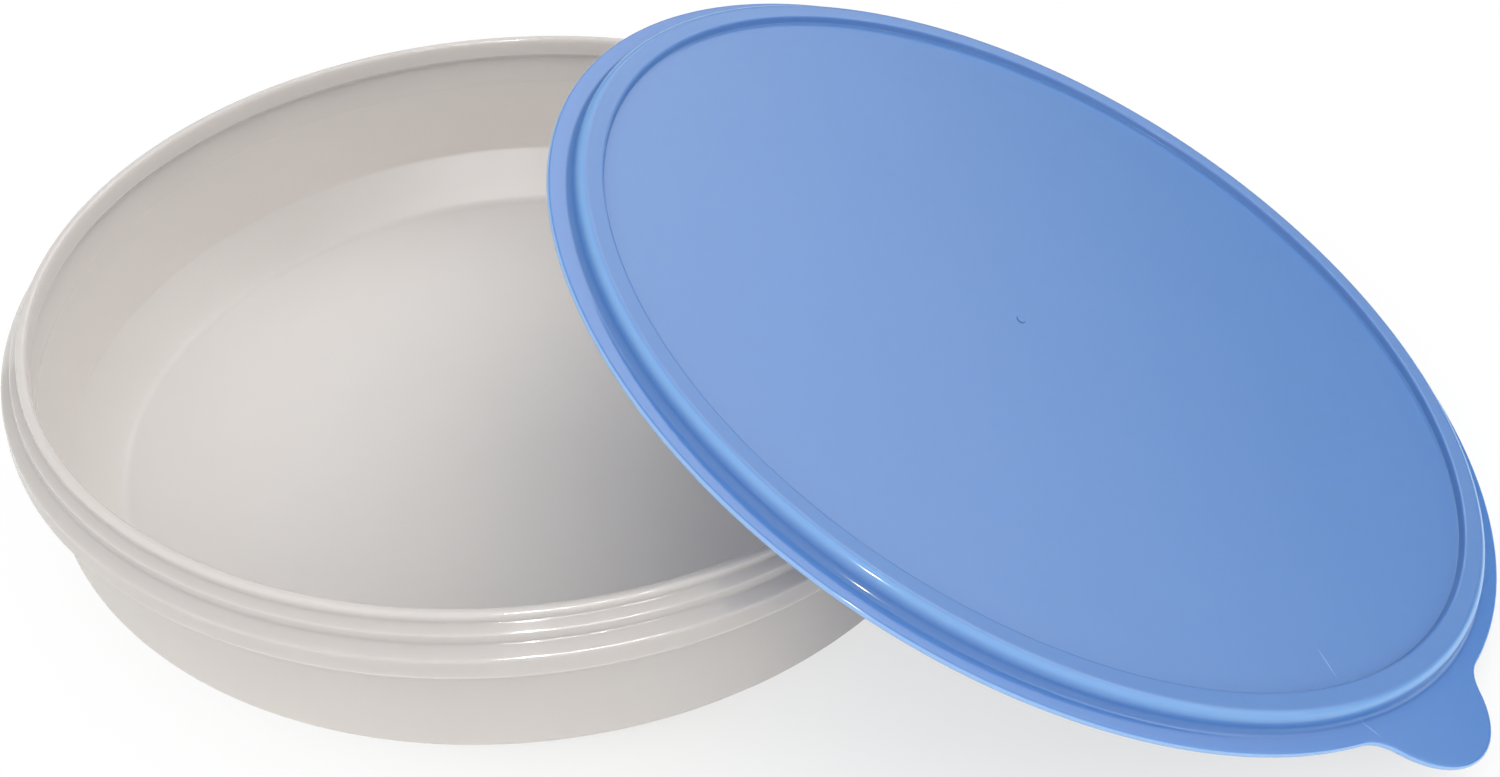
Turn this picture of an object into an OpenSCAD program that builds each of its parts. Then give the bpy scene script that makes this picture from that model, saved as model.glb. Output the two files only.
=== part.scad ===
// Round shallow freezer container with a press-on lid that leans on its rim.
// Millimetres. The origin is the centre of the container's base, and +Z is up.
// The lid leans along +X: its low edge stands on the table, its panel rests on the rim.

/* [Container] */
// Inner radius of the mouth
mouth_r = 100; // [60:1:160]
// Height from the base to the top of the lip
container_h = 46.6; // [36:0.2:90]
// Outer radius of the body under the collar
body_r = 103.8; // [63.8:0.2:164]
// How much narrower the body would be at base height without its bevel
body_draft = 1.8; // [0:0.1:4]
// Thickness of the body's wall
wall_t = 2; // [1:0.1:2.6]
// Thickness of the floor
floor_t = 1.8; // [1:0.1:4]
// Height over the base at which the bevel round the foot starts
bevel_rise = 12.8; // [6:0.2:20]
// How far the bevel comes in on its way down to the base
bevel_run = 10.2; // [4:0.2:16]
// Outer rounding where the wall turns into the bevel
bevel_round = 3.5; // [3:0.1:8]
// Outer rounding where the bevel turns into the base
foot_round = 5; // [4.5:0.1:8]

/* [Rim of the container] */
// Thickness of the upright rim that the lid closes over
rim_t = 2; // [1.6:0.1:2.4]
// Rounding of the lip's two edges
lip_round = 0.8; // [0.2:0.05:0.8]
// Height of the straight band inside the mouth, which seals against the lid
band_h = 4.6; // [3:0.1:8]
// Height of the slope that joins the band to the body's wall
band_slope = 1.8; // [1:0.1:3]

/* [Collar of the container] */
// Drop from the lip to the foot of the rim, where the collar starts
collar_valley_drop = 1.7; // [1.2:0.1:2]
// How far the collar's shoulder stands out from the rim
collar_shoulder_out = 1.8; // [1.2:0.1:1.9]
// Drop from the lip to the collar's shoulder
collar_shoulder_drop = 3.1; // [2.6:0.1:3.4]
// How far the foot of the step under the shoulder stands out from the rim
collar_step_out = 1.95; // [1.6:0.05:2.2]
// Drop from the lip to the foot of that step
collar_step_drop = 4.9; // [4.4:0.1:5.2]
// How far the collar's brow stands out from the collar's root
collar_brow_out = 4.6; // [4.2:0.1:4.8]
// Drop from the lip to the collar's brow
collar_brow_drop = 6.7; // [6.2:0.1:7.2]
// How far the collar's lower edge stands out from the collar's root
collar_edge_out = 5; // [4.8:0.1:6.2]
// Drop from the lip to the collar's lower edge
collar_edge_drop = 10.8; // [9.4:0.1:14]
// How far inside the rim the collar's root may lie, where it follows the body's wall
collar_tuck = 1.4; // [0.4:0.1:1.6]
// Thickness of the collar's skirt
collar_t = 1.4; // [1:0.1:1.6]

/* [Lid] */
// Thickness of the lid's panel
lid_t = 1; // [0.8:0.05:1.3]
// Thickness of the flat flange round the lid
flange_t = 1.2; // [1:0.05:1.4]
// Width of the flange from the foot of the raised ring to its edge
flange_w = 4.4; // [3:0.1:10]
// Height of the raised ring's top over the underside of the flange
ring_h = 4.9; // [4.4:0.1:6]
// How much lower the ring's top lies at its inner side
ring_fall = 0.3; // [0:0.05:0.5]
// How far the ring's outer wall spreads from its top to its foot
ring_spread = 0.8; // [0.5:0.1:1.2]
// Thickness of the ring's outer wall, measured level
ring_wall_t = 1.05; // [0.8:0.05:1.2]
// Rounding of the ring's outer shoulder
ring_round = 1.8; // [0.6:0.1:1.8]
// Height of the panel's top over the underside of the flange
panel_z = 3; // [2:0.1:3.2]
// Radius of the small moulding mark near the centre of the panel
gate_r = 1; // [0.6:0.1:2]
// Height of the moulding mark over the panel
gate_h = 0.3; // [0.1:0.05:0.6]
// How far the mark lies from the lid's centre towards its high edge
gate_up = 6.8; // [0:0.1:20]
// How far the mark lies from the lid's centre towards the tab's side
gate_aside = 9.7; // [0:0.1:20]

/* [Seal of the lid] */
// Gap between the lid's sealing wall and the inside of the mouth
plug_clear = 0.2; // [0.05:0.05:0.4]
// Thickness of the sealing wall
plug_t = 0.9; // [0.7:0.05:1.2]
// Depth of the sealing wall below the seat on the lip
plug_depth = 4.6; // [3:0.1:4.6]
// Gap between the collar's shoulder and the foot of the lid's ring
ring_clear = 0.3; // [0.1:0.05:0.6]
// Height of the channel's roof, which seats on the lip, over the underside of the flange
seat_z = 3.6; // [3.2:0.1:3.8]

/* [Thumb tab] */
// How far the tab reaches beyond the flange
tab_reach = 11.2; // [6:0.2:18]
// Radius of the tab's round end
tab_round_r = 19.5; // [12:0.5:30]
// Radius of the hollow shoulders that join the tab to the flange
tab_shoulder_r = 10; // [4:0.5:20]
// Direction of the tab, counted from the low edge of the leaning lid
tab_turn = -46.2; // [-180:0.2:180]

/* [Place of the lid] */
// Where the lid is: leaning on the rim, or closed on the container
lid_place = "leaning"; // [leaning, closed]
// Distance up the lid from its centre to the point that rests on the rim
lean_contact = 12.8; // [5:0.2:40]
// Gap that is left where the lid rests on the container
rest_gap = 0.3; // [0.1:0.05:0.5]

/* [Hidden] */
container_color = "#CBC9C5";
lid_color = "#7C9CD6";
round_fn = 180;
arc_steps = 6;

// Edge roundings and inner fillets that carry no fit
skirt_round = 0.45;
brow_round = 0.9;
shoulder_round = 0.5;
valley_round = 0.6;
step_foot_round = 0.6;
under_round = 0.4;
band_round = 0.3;
flange_round = 0.55;
crease_round = 1.2;
ridge_round = 0.6;
step_round = 0.25;
plug_round = 0.3;
// Level width of the step from the panel up to the ring
step_run = 0.4;

// Radii and heights of the container that follow from its sizes
rim_r = mouth_r + rim_t;
body_in_r = body_r - wall_t;
collar_root_r = max(rim_r - collar_tuck, body_in_r);
collar_edge_r = collar_root_r + collar_edge_out;
collar_brow_r = collar_root_r + collar_brow_out;
collar_shoulder_r = rim_r + collar_shoulder_out;
collar_step_r = rim_r + collar_step_out;
collar_edge_z = container_h - collar_edge_drop;
collar_roof_z = container_h - collar_brow_drop - collar_t;
collar_slope = collar_edge_r - collar_brow_r;
collar_height = collar_edge_drop - collar_brow_drop;
collar_roof_r = collar_brow_r - collar_t + collar_slope * collar_t / collar_height;

// Bevel round the foot: its inner face runs parallel to the outer one
bevel_turn = atan(bevel_run / bevel_rise);
bevel_top_r = body_r - body_draft * (collar_roof_z - bevel_rise) / collar_roof_z;
base_r = bevel_top_r - bevel_run;
bevel_in_r = bevel_top_r - wall_t;
bevel_in_z = bevel_rise + wall_t * tan(bevel_turn / 2);
floor_r = bevel_in_r - (bevel_in_z - floor_t) * tan(bevel_turn);

// Radii and heights of the lid, over the underside of its flange
plug_r = mouth_r - plug_clear;
plug_in_r = plug_r - plug_t;
ring_foot_in_r = collar_shoulder_r + ring_clear;
channel_r = ring_foot_in_r - ring_spread;
ring_foot_r = ring_foot_in_r + ring_wall_t;
ring_r = channel_r + ring_wall_t;
flange_r = ring_foot_r + flange_w;
panel_under_z = panel_z - lid_t;
plug_tip_z = seat_z - plug_depth;

// Lean of the lid. Its edge rounding touches the table at height zero, and its
// panel's underside lies over the lip's outer rounding, lean_contact up the lid.
// Where a wide collar would reach it first, the lid stands further out.
edge_reach = flange_r - flange_round;
lever = edge_reach + lean_contact;
offset_down = panel_under_z - flange_round - lip_round - rest_gap;
rise = container_h - lip_round - flange_round;
lean = asin(rise / norm([lever, offset_down])) - atan2(offset_down, lever);
lean_z = edge_reach * sin(lean) + flange_round * (1 - cos(lean));
lip_touch = [rim_r - lip_round, container_h - lip_round, lip_round];
collar_touch = [collar_brow_r, container_h - collar_brow_drop, 0];
lean_x = max([for (t = [lip_touch, collar_touch]) stand_off(t)]);
closed_z = container_h + rest_gap - seat_z;

// Tab: its end circle and shoulder circles touch, so the outline has no kinks
tab_centre = flange_r + tab_reach - tab_round_r;
shoulder_far = flange_r + tab_shoulder_r;
shoulder_near = tab_round_r + tab_shoulder_r;
shoulder_x = (shoulder_far ^ 2 + tab_centre ^ 2 - shoulder_near ^ 2) / (2 * tab_centre);
shoulder_y = sqrt(shoulder_far ^ 2 - shoulder_x ^ 2);

// Place of the lid at which its panel clears a rounding t = [radius out, height, rounding]
function stand_off(t) =
    t.x + (t.z + rest_gap - panel_under_z - (lean_z - t.y) * cos(lean)) / sin(lean);
function unit_of(v) = v / norm(v);
function turned(v, a) = [v.x * cos(a) - v.y * sin(a), v.x * sin(a) + v.y * cos(a)];
function cross_of(a, b) = a.x * b.y - a.y * b.x;

// Arc that rounds the corner p, with legs towards a and b, by the radius r
function corner_arc(a, p, b, r, steps) =
    let (
        u = unit_of(a - p),
        v = unit_of(b - p),
        half = acos(u * v) / 2,
        centre = p + unit_of(u + v) * r / sin(half),
        start = p + u * r / tan(half) - centre,
        sweep = (180 - 2 * half) * sign(cross_of(v, u))
    )
    [for (i = [0 : steps]) centre + turned(start, sweep * i / steps)];

// Outline of rows [x, y, rounding], with every rounded corner drawn as an arc
function rounded(rows) =
    let (n = len(rows), xy = [for (row = rows) [row.x, row.y]])
    [for (i = [0 : n - 1])
        let (r = rows[i][2])
        each r == 0
            ? [xy[i]]
            : corner_arc(xy[(i + n - 1) % n], xy[i], xy[(i + 1) % n], r, arc_steps)];

// Half section of the container, from the base round the collar to the floor
container_rows = [
    [0, 0, 0],
    [base_r, 0, foot_round],
    [bevel_top_r, bevel_rise, bevel_round],
    [body_r, collar_roof_z, under_round],
    [collar_roof_r, collar_roof_z, under_round],
    [collar_edge_r - collar_t, collar_edge_z, skirt_round],
    [collar_edge_r, collar_edge_z, skirt_round],
    [collar_brow_r, container_h - collar_brow_drop, brow_round],
    [collar_step_r, container_h - collar_step_drop, step_foot_round],
    [collar_shoulder_r, container_h - collar_shoulder_drop, shoulder_round],
    [rim_r, container_h - collar_valley_drop, valley_round],
    [rim_r, container_h, lip_round],
    [mouth_r, container_h, lip_round],
    [mouth_r, container_h - band_h, band_round],
    [body_in_r, container_h - band_h - band_slope, band_round],
    [bevel_in_r, bevel_in_z, bevel_round - wall_t],
    [floor_r, floor_t, foot_round - floor_t],
    [0, floor_t, 0]
];

// Half section of the lid, over the underside of its flange
lid_rows = [
    [0, panel_under_z, 0],
    [plug_in_r, panel_under_z, plug_round],
    [plug_in_r, plug_tip_z, plug_round],
    [plug_r, plug_tip_z, plug_round],
    [plug_r, seat_z, plug_round],
    [channel_r, seat_z, plug_round],
    [ring_foot_in_r, 0, plug_round],
    [flange_r, 0, flange_round],
    [flange_r, flange_t, flange_round],
    [ring_foot_r, flange_t, crease_round],
    [ring_r, ring_h, ring_round],
    [plug_in_r + step_run, ring_h - ring_fall, ridge_round],
    [plug_in_r, panel_z, step_round],
    [0, panel_z, 0]
];

module container() {
    color(container_color)
    rotate_extrude($fn = round_fn)
    polygon(rounded(container_rows));
}

// Flat outline of the tab, rooted in the flange
module tab_outline() {
    root_r = ring_foot_r + flange_w / 2;
    root = root_r / shoulder_far * [shoulder_x, shoulder_y];
    difference() {
        union() {
            translate([tab_centre, 0])
            circle(r = tab_round_r, $fn = round_fn);
            polygon([
                [root.x, -root.y],
                [shoulder_x, -shoulder_y],
                [tab_centre, 0],
                [shoulder_x, shoulder_y],
                [root.x, root.y]
            ]);
        }
        for (side = [-1, 1])
            translate([shoulder_x, side * shoulder_y])
            circle(r = tab_shoulder_r, $fn = round_fn);
        circle(r = ring_foot_r, $fn = round_fn);
    }
}

module lid_shell() {
    rotate_extrude($fn = round_fn)
    polygon(rounded(lid_rows));
    rotate([0, 0, tab_turn])
    linear_extrude(height = flange_t)
    tab_outline();
    translate([-gate_up, -gate_aside, panel_under_z])
    cylinder(r = gate_r, h = lid_t + gate_h, $fn = round_fn);
}

module lid() {
    color(lid_color)
    if (lid_place == "closed") {
        translate([0, 0, closed_z])
        lid_shell();
    } else {
        translate([lean_x, 0, lean_z])
        rotate([0, lean, 0])
        lid_shell();
    }
}

container();
lid();
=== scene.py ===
"""Round milky freezer container with a blue press-on lid leaning on its rim.

Metres in the scene, millimetres in the sizes below. The origin is the centre of the
container's base, +Z is up and +X is the way the lid leans.
"""
import logging
import math
from dataclasses import dataclass, field
from enum import Enum

import bpy
from mathutils import Matrix, Vector


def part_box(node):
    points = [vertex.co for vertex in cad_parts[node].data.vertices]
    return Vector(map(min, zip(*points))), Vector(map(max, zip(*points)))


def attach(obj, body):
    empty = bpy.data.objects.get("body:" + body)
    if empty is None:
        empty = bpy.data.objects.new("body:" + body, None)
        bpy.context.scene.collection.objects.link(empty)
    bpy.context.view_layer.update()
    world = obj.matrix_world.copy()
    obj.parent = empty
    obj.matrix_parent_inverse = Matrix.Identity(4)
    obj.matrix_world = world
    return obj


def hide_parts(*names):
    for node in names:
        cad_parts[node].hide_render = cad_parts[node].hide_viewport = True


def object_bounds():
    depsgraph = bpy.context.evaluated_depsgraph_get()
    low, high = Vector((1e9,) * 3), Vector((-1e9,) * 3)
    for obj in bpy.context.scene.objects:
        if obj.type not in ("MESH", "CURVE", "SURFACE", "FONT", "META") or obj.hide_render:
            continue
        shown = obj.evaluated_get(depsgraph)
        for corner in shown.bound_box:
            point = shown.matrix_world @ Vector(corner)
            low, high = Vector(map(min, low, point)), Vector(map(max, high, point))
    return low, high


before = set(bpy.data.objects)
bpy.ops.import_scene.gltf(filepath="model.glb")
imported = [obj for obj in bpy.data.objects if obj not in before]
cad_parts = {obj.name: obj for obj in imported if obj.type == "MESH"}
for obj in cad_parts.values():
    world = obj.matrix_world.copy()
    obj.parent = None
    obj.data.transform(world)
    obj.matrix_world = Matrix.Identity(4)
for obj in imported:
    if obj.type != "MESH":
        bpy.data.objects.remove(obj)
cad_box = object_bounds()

log = logging.getLogger("freezer_container")

# One millimetre in metres
MM = 0.001
# Width of the photograph in pixels and of the camera's sensor in millimetres
PHOTO_W = 1500
SENSOR_W = 36.0
# Turn in degrees that brings a camera from looking straight down to looking level
LEVEL = 90.0
# Fewest segments of a rounded corner
LEAST_ARC_STEPS = 6
# Length of a straight stretch that gets guard points, in guard distances
LONG_STRETCH = 3.0

# Radius, height and rounding of a corner
Row = tuple[float, float, float]
# Radius and height of a point
Point = tuple[float, float]


class Polish(Enum):
    """How a moulded face was finished in its mould, as its roughness."""

    ETCHED = 0.42
    BLASTED = 0.24
    POLISHED = 0.10


class Lamp(Enum):
    """Kinds of studio lamp."""

    SOFTBOX = "RECTANGLE"
    BULB = "DISK"


def linear(hex_colour: str) -> tuple[float, float, float, float]:
    """Turns an sRGB hex colour to linear, with the standard's own numbers.

    Args:
        hex_colour: Six hex digits with a leading hash.

    Returns:
        Linear red, green and blue, with alpha 1.
    """
    channels = []
    for start in (1, 3, 5):
        value = int(hex_colour[start:start + 2], 16) / 255
        if value <= 0.04045:
            channels.append(value / 12.92)
        else:
            channels.append(((value + 0.055) / 1.055) ** 2.4)
    return (channels[0], channels[1], channels[2], 1.0)


def add_node(tree: bpy.types.NodeTree, kind: str, settings: dict | None = None,
             links: dict | None = None) -> bpy.types.Node:
    """Adds one node with its settings, and links or sets its inputs.

    Args:
        tree: The tree that gets the node.
        kind: The node's class name.
        settings: Attributes to set on the node.
        links: Input name or number to an output socket or to a plain value.

    Returns:
        The new node.
    """
    node = tree.nodes.new(kind)
    for name, value in (settings or {}).items():
        setattr(node, name, value)
    for name, value in (links or {}).items():
        socket = node.inputs[name]
        if isinstance(value, bpy.types.NodeSocket):
            tree.links.new(value, socket)
        else:
            socket.default_value = value
    return node


# Half sections and their turning


def corner_arc(before: Vector, corner: Vector, after: Vector, radius: float,
               steps: int) -> list[Point]:
    """Rounds one corner of an outline.

    Args:
        before: The point before the corner.
        corner: The corner.
        after: The point after the corner.
        radius: Radius of the rounding.
        steps: Segments of the arc.

    Returns:
        The points of the arc, from the leg of before to the leg of after.
    """
    to_before = (before - corner).normalized()
    to_after = (after - corner).normalized()
    half = to_before.angle(to_after) / 2
    centre = corner + (to_before + to_after).normalized() * (radius / math.sin(half))
    start = corner + to_before * (radius / math.tan(half)) - centre
    cross = to_after.x * to_before.y - to_after.y * to_before.x
    sweep = math.copysign(math.pi - 2 * half, cross)
    points = []
    for i in range(steps + 1):
        turned = Matrix.Rotation(sweep * i / steps, 2) @ start
        points.append((centre.x + turned.x, centre.y + turned.y))
    return points


def rounded(rows: list[Row], fine: float, guard: float) -> list[Point]:
    """Draws an open half section with arcs at its corners.

    Args:
        rows: Radius, height and rounding of each corner.
        fine: Length of an arc's segments, about.
        guard: Distance of the extra point that keeps a flat face flat beside an arc.

    Returns:
        The points of the half section.
    """
    corners = [Vector((row[0], row[1])) for row in rows]
    points: list[Point] = []
    last = len(rows) - 1
    for i, row in enumerate(rows):
        if row[2] == 0 or i in (0, last):
            points.append((row[0], row[1]))
            continue
        leg_a = (corners[i - 1] - corners[i]).normalized()
        leg_b = (corners[i + 1] - corners[i]).normalized()
        turn = math.pi - leg_a.angle(leg_b)
        steps = max(LEAST_ARC_STEPS, math.ceil(turn * row[2] / fine))
        points += corner_arc(corners[i - 1], corners[i], corners[i + 1], row[2], steps)
    return guarded(points, guard)


def guarded(points: list[Point], guard: float) -> list[Point]:
    """Adds a point near each end of a long straight stretch.

    Args:
        points: The outline.
        guard: Distance of the added point from the stretch's end.

    Returns:
        The outline with the added points.
    """
    made = [points[0]]
    for start, end in zip(points, points[1:]):
        a = Vector(start)
        b = Vector(end)
        length = (b - a).length
        if length > LONG_STRETCH * guard:
            step = (b - a) * (guard / length)
            made.append(tuple(a + step))
            made.append(tuple(b - step))
        made.append(end)
    return made


def turned_tree() -> bpy.types.NodeTree:
    """Builds the tree that turns a half section about Z into a closed moulding.

    Returns:
        The tree, with inputs for the steps around, the weld distance and the finish.
    """
    tree = bpy.data.node_groups.new("turned_moulding", "GeometryNodeTree")
    face = tree.interface
    face.new_socket("Half section", in_out="INPUT", socket_type="NodeSocketGeometry")
    face.new_socket("Steps around", in_out="INPUT", socket_type="NodeSocketInt")
    face.new_socket("Weld distance", in_out="INPUT", socket_type="NodeSocketFloat")
    face.new_socket("Finish", in_out="INPUT", socket_type="NodeSocketMaterial")
    face.new_socket("Moulding", in_out="OUTPUT", socket_type="NodeSocketGeometry")
    given = add_node(tree, "NodeGroupInput")
    section = given.outputs["Half section"]
    steps = given.outputs["Steps around"]

    count = add_node(tree, "GeometryNodeAttributeDomainSize", {"component": "MESH"},
                     {"Geometry": section})
    columns = add_node(tree, "ShaderNodeMath", {"operation": "ADD"}, {0: steps, 1: 1.0})
    grid = add_node(tree, "GeometryNodeMeshGrid", {}, {
        "Vertices X": columns.outputs[0],
        "Vertices Y": count.outputs["Point Count"],
    })
    # Column and row of a grid point, from its index. The half keeps the share between
    # whole numbers, so that rounding can't move a point to the next column.
    index = add_node(tree, "GeometryNodeInputIndex")
    middle = add_node(tree, "ShaderNodeMath", {"operation": "ADD"},
                      {0: index.outputs[0], 1: 0.5})
    share = add_node(tree, "ShaderNodeMath", {"operation": "DIVIDE"},
                     {0: middle.outputs[0], 1: count.outputs["Point Count"]})
    column = add_node(tree, "ShaderNodeMath", {"operation": "FLOOR"}, {0: share.outputs[0]})
    before = add_node(tree, "ShaderNodeMath", {"operation": "MULTIPLY"},
                      {0: column.outputs[0], 1: count.outputs["Point Count"]})
    row = add_node(tree, "ShaderNodeMath", {"operation": "SUBTRACT"},
                   {0: index.outputs[0], 1: before.outputs[0]})
    place = add_node(tree, "GeometryNodeInputPosition")
    sample = add_node(tree, "GeometryNodeSampleIndex",
                      {"data_type": "FLOAT_VECTOR", "domain": "POINT"},
                      {"Geometry": section, "Value": place.outputs[0],
                       "Index": row.outputs[0]})
    turn = add_node(tree, "ShaderNodeMath", {"operation": "DIVIDE"},
                    {0: column.outputs[0], 1: steps})
    angle = add_node(tree, "ShaderNodeMath", {"operation": "MULTIPLY"},
                     {0: turn.outputs[0], 1: math.tau})
    swing = add_node(tree, "ShaderNodeVectorRotate", {"rotation_type": "Z_AXIS"},
                     {"Vector": sample.outputs["Value"], "Angle": angle.outputs[0]})
    shape = add_node(tree, "GeometryNodeSetPosition", {}, {
        "Geometry": grid.outputs["Mesh"],
        "Position": swing.outputs[0],
    })
    weld = add_node(tree, "GeometryNodeMergeByDistance", {}, {
        "Geometry": shape.outputs[0],
        "Distance": given.outputs["Weld distance"],
    })
    smooth = add_node(tree, "GeometryNodeSetShadeSmooth", {}, {0: weld.outputs[0]})
    real = add_node(tree, "GeometryNodeRealizeInstances", {}, {0: smooth.outputs[0]})
    dressed = add_node(tree, "GeometryNodeSetMaterial", {}, {
        "Geometry": real.outputs[0],
        "Material": given.outputs["Finish"],
    })
    out = add_node(tree, "NodeGroupOutput")
    tree.links.new(dressed.outputs[0], out.inputs[0])
    return tree


@dataclass
class Lathe:
    """Turns half sections into meshes with the Geometry Nodes tree.

    Attributes:
        weld: Distance below which points are one, in millimetres.
        tree: The tree that does the turning.
    """

    weld: float = 0.001
    tree: bpy.types.NodeTree = field(default_factory=turned_tree)

    def turn(self, points: list[Point], steps: int,
             finish: bpy.types.Material) -> bpy.types.Mesh:
        """Turns one half section about Z.

        Args:
            points: Radius and height of each point, in millimetres.
            steps: Segments of a full turn.
            finish: The material of the moulding.

        Returns:
            A closed mesh in millimetres.
        """
        section = bpy.data.meshes.new("half_section")
        edges = [(i, i + 1) for i in range(len(points) - 1)]
        section.from_pydata([(r, 0.0, z) for r, z in points], edges, [])
        carrier = bpy.data.objects.new("half_section", section)
        bpy.context.scene.collection.objects.link(carrier)
        modifier = carrier.modifiers.new("turn", "NODES")
        modifier.node_group = self.tree
        values = {"Steps around": steps, "Weld distance": self.weld, "Finish": finish}
        for item in self.tree.interface.items_tree:
            if item.in_out == "INPUT" and item.name in values:
                modifier[item.identifier] = values[item.name]
        graph = bpy.context.evaluated_depsgraph_get()
        mesh = bpy.data.meshes.new_from_object(carrier.evaluated_get(graph))
        carrier.modifiers.clear()
        bpy.data.objects.remove(carrier)
        bpy.data.meshes.remove(section)
        return mesh


def add_piece(name: str, mesh: bpy.types.Mesh, body: str, node: str) -> bpy.types.Object:
    """Makes a finished mesh a piece of the object.

    Args:
        name: The piece's name.
        mesh: The mesh in metres, in the frame's place.
        body: The body that it rides on.
        node: The node that it stands for.

    Returns:
        The piece.
    """
    mesh.name = name
    piece = bpy.data.objects.new(name, mesh)
    bpy.context.scene.collection.objects.link(piece)
    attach(piece, body)
    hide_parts(node)
    log.info("%s: %d faces on body %s", name, len(mesh.polygons), body)
    return piece


# Finishes


@dataclass(frozen=True)
class MouldedPlastic:
    """What the two moulded plastics share: faint clouds and waves, and scattered light.

    Lengths are in millimetres.

    Attributes:
        cloud_size: Width of the faint clouds in the plastic.
        cloud_roughness: Strength of each finer layer of the clouds.
        wave_size: Width of the faint waves that cooling leaves in the faces.
        wave_strength: Share of the waves that shows.
        scatter: Distance that light spreads in the plastic.
        scatter_share: Share of the light that enters the plastic.
        scatter_tint: Share of that distance for red, green and blue.
        ior: Refractive index.
        cloud_detail: Number of finer layers in the clouds.
        wave_detail: Number of finer layers in the waves.
        wave_height: Height of the waves.
    """

    cloud_size: float
    cloud_roughness: float
    wave_size: float
    wave_strength: float
    scatter: float
    scatter_share: float
    scatter_tint: tuple[float, float, float]
    ior: float
    cloud_detail: float = 3.0
    wave_detail: float = 1.0
    wave_height: float = 0.4

    def dress(self, tree: bpy.types.NodeTree, shader: bpy.types.Node,
              place: bpy.types.NodeSocket) -> None:
        """Gives the shader the waves, the refraction and the scatter of the plastic.

        Args:
            tree: The material's tree.
            shader: The material's shader.
            place: The place that the waves follow.
        """
        waves = add_node(tree, "ShaderNodeTexNoise", {}, {
            "Vector": place, "Scale": 1 / (self.wave_size * MM), "Detail": self.wave_detail,
        })
        bump = add_node(tree, "ShaderNodeBump", {}, {
            "Strength": self.wave_strength, "Distance": self.wave_height * MM,
            "Height": waves.outputs[0],
        })
        tree.links.new(bump.outputs[0], shader.inputs["Normal"])
        shader.inputs["IOR"].default_value = self.ior
        shader.inputs["Subsurface Weight"].default_value = self.scatter_share
        shader.inputs["Subsurface Radius"].default_value = self.scatter_tint
        shader.inputs["Subsurface Scale"].default_value = self.scatter * MM


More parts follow.
